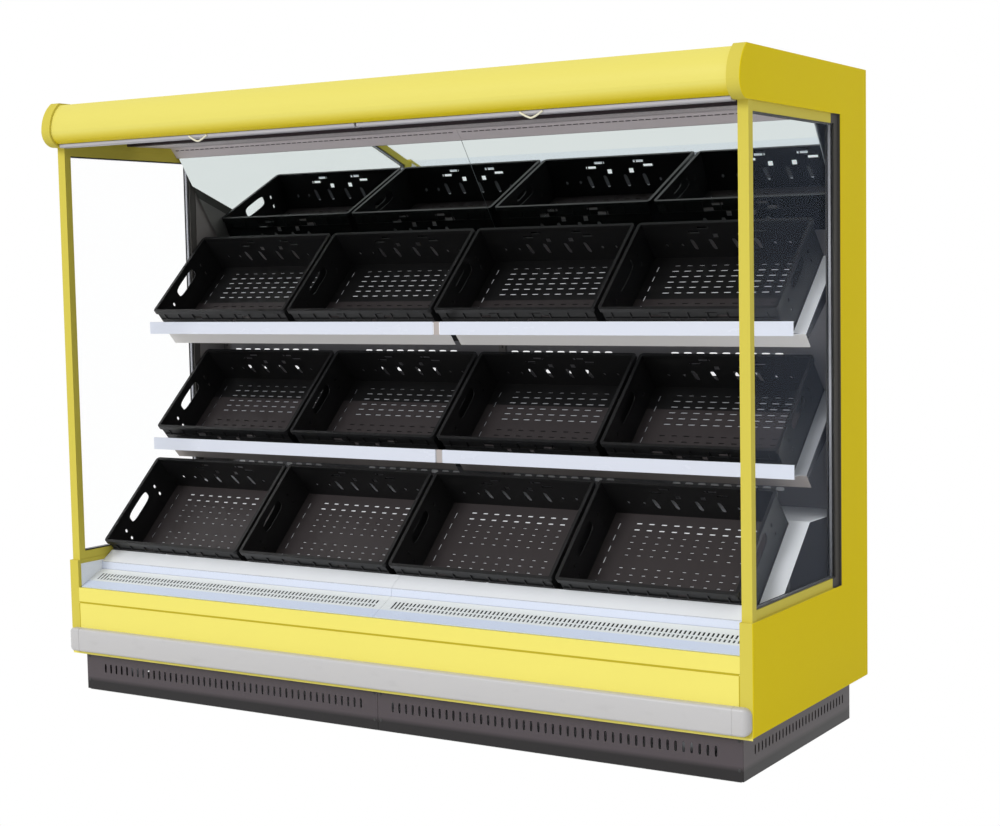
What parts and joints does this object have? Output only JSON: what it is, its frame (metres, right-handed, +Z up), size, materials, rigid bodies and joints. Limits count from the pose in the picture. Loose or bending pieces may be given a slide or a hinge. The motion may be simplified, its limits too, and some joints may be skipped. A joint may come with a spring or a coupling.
{
  "type": "open multideck display fridge",
  "caption": "Open multideck display fridge for produce: tilted crates in tiers under a sloping mirror, glazed ends, rounded canopy with pull-down night blinds, slotted plinth.",
  "frame": {"origin": "on the floor under the middle of the cabinet: halfway along its length, halfway from the canopy nose to the back, at the bottom of the levelling feet", "axes": "+X along the length to the shopper's right, -Y towards the shopper, +Y towards the back, +Z up"},
  "size_m": [2.58, 0.946, 2.03],
  "materials": {
    "yellow_paint": "satin",
    "white_paint": "satin",
    "cream_paint": "satin",
    "grey_paint": "satin",
    "dark_paint": "satin",
    "foam_body": "satin",
    "end_body": "satin",
    "galvanised": "spangled",
    "aluminium": "anodised",
    "grey_plastic": "satin",
    "rail_plastic": "gloss",
    "black_plastic": "satin",
    "crate_plastic": "moulded",
    "clear_glass": "clear",
    "clear_acrylic": "clear",
    "mirror_glass": "polished",
    "blind_fabric": "woven",
    "copper": "dull"
  },
  "bodies": {
    "cabinet": {"base_frame": "galvanised", "levelling_feet": "black_plastic", "plinth_front": "dark_paint", "plinth_ends": "dark_paint", "base_tub": "foam_body", "rear_wall": "foam_body", "roof_panel": "foam_body", "end_panel_left": "end_body", "end_panel_right": "end_body", "end_liners": "white_paint", "window_frame_left": "yellow_paint", "window_frame_right": "yellow_paint", "window_panes": "clear_glass", "glass_spacers": "aluminium", "canopy_fascia": "yellow_paint", "canopy_soffit": "grey_paint", "air_honeycomb": "black_plastic", "blind_cassette": "aluminium", "mirrors": "mirror_glass", "mirror_rails": "galvanised", "back_air_panels": "white_paint", "shelf_uprights": "white_paint", "shelf_tray_lower": "white_paint", "shelf_tray_upper": "white_paint", "shelf_brackets": "white_paint", "price_rails": "rail_plastic", "deck_trays": "white_paint", "deck_supports": "galvanised", "air_grilles": "cream_paint", "front_riser": "clear_acrylic", "front_upper_panel": "yellow_paint", "front_lower_panel": "yellow_paint", "bumper_rail": "grey_plastic", "drain_pan": "white_paint", "evaporator_coil": "aluminium", "refrigerant_pipes": "copper", "fan_plate": "galvanised", "fan_motors": "dark_paint", "electrical_box": "grey_plastic"},
    "blind_bar_left": {"blind_bar_left": "grey_plastic", "blind_curtain_left": "blind_fabric"},
    "blind_bar_right": {"blind_bar_right": "grey_plastic", "blind_curtain_right": "blind_fabric"},
    "blind_roller_left": {"blind_roller_left": "aluminium"},
    "blind_roller_right": {"blind_roller_right": "aluminium"},
    "fan_rotor_left": {"fan_rotor_left": "black_plastic"},
    "fan_rotor_middle": {"fan_rotor_middle": "black_plastic"},
    "fan_rotor_right": {"fan_rotor_right": "black_plastic"},
    "crate_top_1": {"crate_top_1": "crate_plastic"},
    "crate_top_2": {"crate_top_2": "crate_plastic"},
    "crate_top_3": {"crate_top_3": "crate_plastic"},
    "crate_top_4": {"crate_top_4": "crate_plastic"},
    "crate_middle_1": {"crate_middle_1": "crate_plastic"},
    "crate_middle_2": {"crate_middle_2": "crate_plastic"},
    "crate_middle_3": {"crate_middle_3": "crate_plastic"},
    "crate_middle_4": {"crate_middle_4": "crate_plastic"},
    "crate_deck_1": {"crate_deck_1": "crate_plastic"},
    "crate_deck_2": {"crate_deck_2": "crate_plastic"},
    "crate_deck_3": {"crate_deck_3": "crate_plastic"},
    "crate_deck_4": {"crate_deck_4": "crate_plastic"}
  },
  "joints": [
    {"name": "blind_left_pull", "type": "slide", "parent": "cabinet", "child": "blind_bar_left", "axis": [0, 0, -1], "range_m": [0, 1.415], "stiffness_N_per_m": 15, "springref_m": -1.2, "deforming": ["blind_curtain_left"]},
    {"name": "blind_left_roll", "type": "hinge", "parent": "cabinet", "child": "blind_roller_left", "pos_m": [-0.625, -0.395, 1.975], "axis": [1, 0, 0], "range_deg": [0, 3300]},
    {"name": "blind_right_pull", "type": "slide", "parent": "cabinet", "child": "blind_bar_right", "axis": [0, 0, -1], "range_m": [0, 1.415], "stiffness_N_per_m": 15, "springref_m": -1.2, "deforming": ["blind_curtain_right"]},
    {"name": "blind_right_roll", "type": "hinge", "parent": "cabinet", "child": "blind_roller_right", "pos_m": [0.625, -0.395, 1.975], "axis": [1, 0, 0], "range_deg": [0, 3300]},
    {"name": "fan_left_spin", "type": "hinge", "parent": "cabinet", "child": "fan_rotor_left", "pos_m": [-0.8, -0.06, 0.34], "axis": [0, 1, 0], "continuous": true},
    {"name": "fan_middle_spin", "type": "hinge", "parent": "cabinet", "child": "fan_rotor_middle", "pos_m": [0, -0.06, 0.34], "axis": [0, 1, 0], "continuous": true},
    {"name": "fan_right_spin", "type": "hinge", "parent": "cabinet", "child": "fan_rotor_right", "pos_m": [0.8, -0.06, 0.34], "axis": [0, 1, 0], "continuous": true},
    {"name": "crate_top_1_lift", "type": "slide", "parent": "cabinet", "child": "crate_top_1", "axis": [0, -0.682, 0.7314], "range_m": [0, 0.11]},
    {"name": "crate_top_2_lift", "type": "slide", "parent": "cabinet", "child": "crate_top_2", "axis": [0, -0.682, 0.7314], "range_m": [0, 0.11]},
    {"name": "crate_top_3_lift", "type": "slide", "parent": "cabinet", "child": "crate_top_3", "axis": [0, -0.682, 0.7314], "range_m": [0, 0.11]},
    {"name": "crate_top_4_lift", "type": "slide", "parent": "cabinet", "child": "crate_top_4", "axis": [0, -0.682, 0.7314], "range_m": [0, 0.11]},
    {"name": "crate_middle_1_lift", "type": "slide", "parent": "cabinet", "child": "crate_middle_1", "axis": [0, -0.682, 0.7314], "range_m": [0, 0.11]},
    {"name": "crate_middle_2_lift", "type": "slide", "parent": "cabinet", "child": "crate_middle_2", "axis": [0, -0.682, 0.7314], "range_m": [0, 0.11]},
    {"name": "crate_middle_3_lift", "type": "slide", "parent": "cabinet", "child": "crate_middle_3", "axis": [0, -0.682, 0.7314], "range_m": [0, 0.11]},
    {"name": "crate_middle_4_lift", "type": "slide", "parent": "cabinet", "child": "crate_middle_4", "axis": [0, -0.682, 0.7314], "range_m": [0, 0.11]},
    {"name": "crate_deck_1_lift", "type": "slide", "parent": "cabinet", "child": "crate_deck_1", "axis": [0, -0.682, 0.7314], "range_m": [0, 0.11]},
    {"name": "crate_deck_2_lift", "type": "slide", "parent": "cabinet", "child": "crate_deck_2", "axis": [0, -0.682, 0.7314], "range_m": [0, 0.11]},
    {"name": "crate_deck_3_lift", "type": "slide", "parent": "cabinet", "child": "crate_deck_3", "axis": [0, -0.682, 0.7314], "range_m": [0, 0.11]},
    {"name": "crate_deck_4_lift", "type": "slide", "parent": "cabinet", "child": "crate_deck_4", "axis": [0, -0.682, 0.7314], "range_m": [0, 0.11]}
  ],
  "couplings": [
    {"joint": "blind_left_roll", "follows": "blind_left_pull", "rad_per_m": 40},
    {"joint": "blind_right_roll", "follows": "blind_right_pull", "rad_per_m": 40}
  ]
}
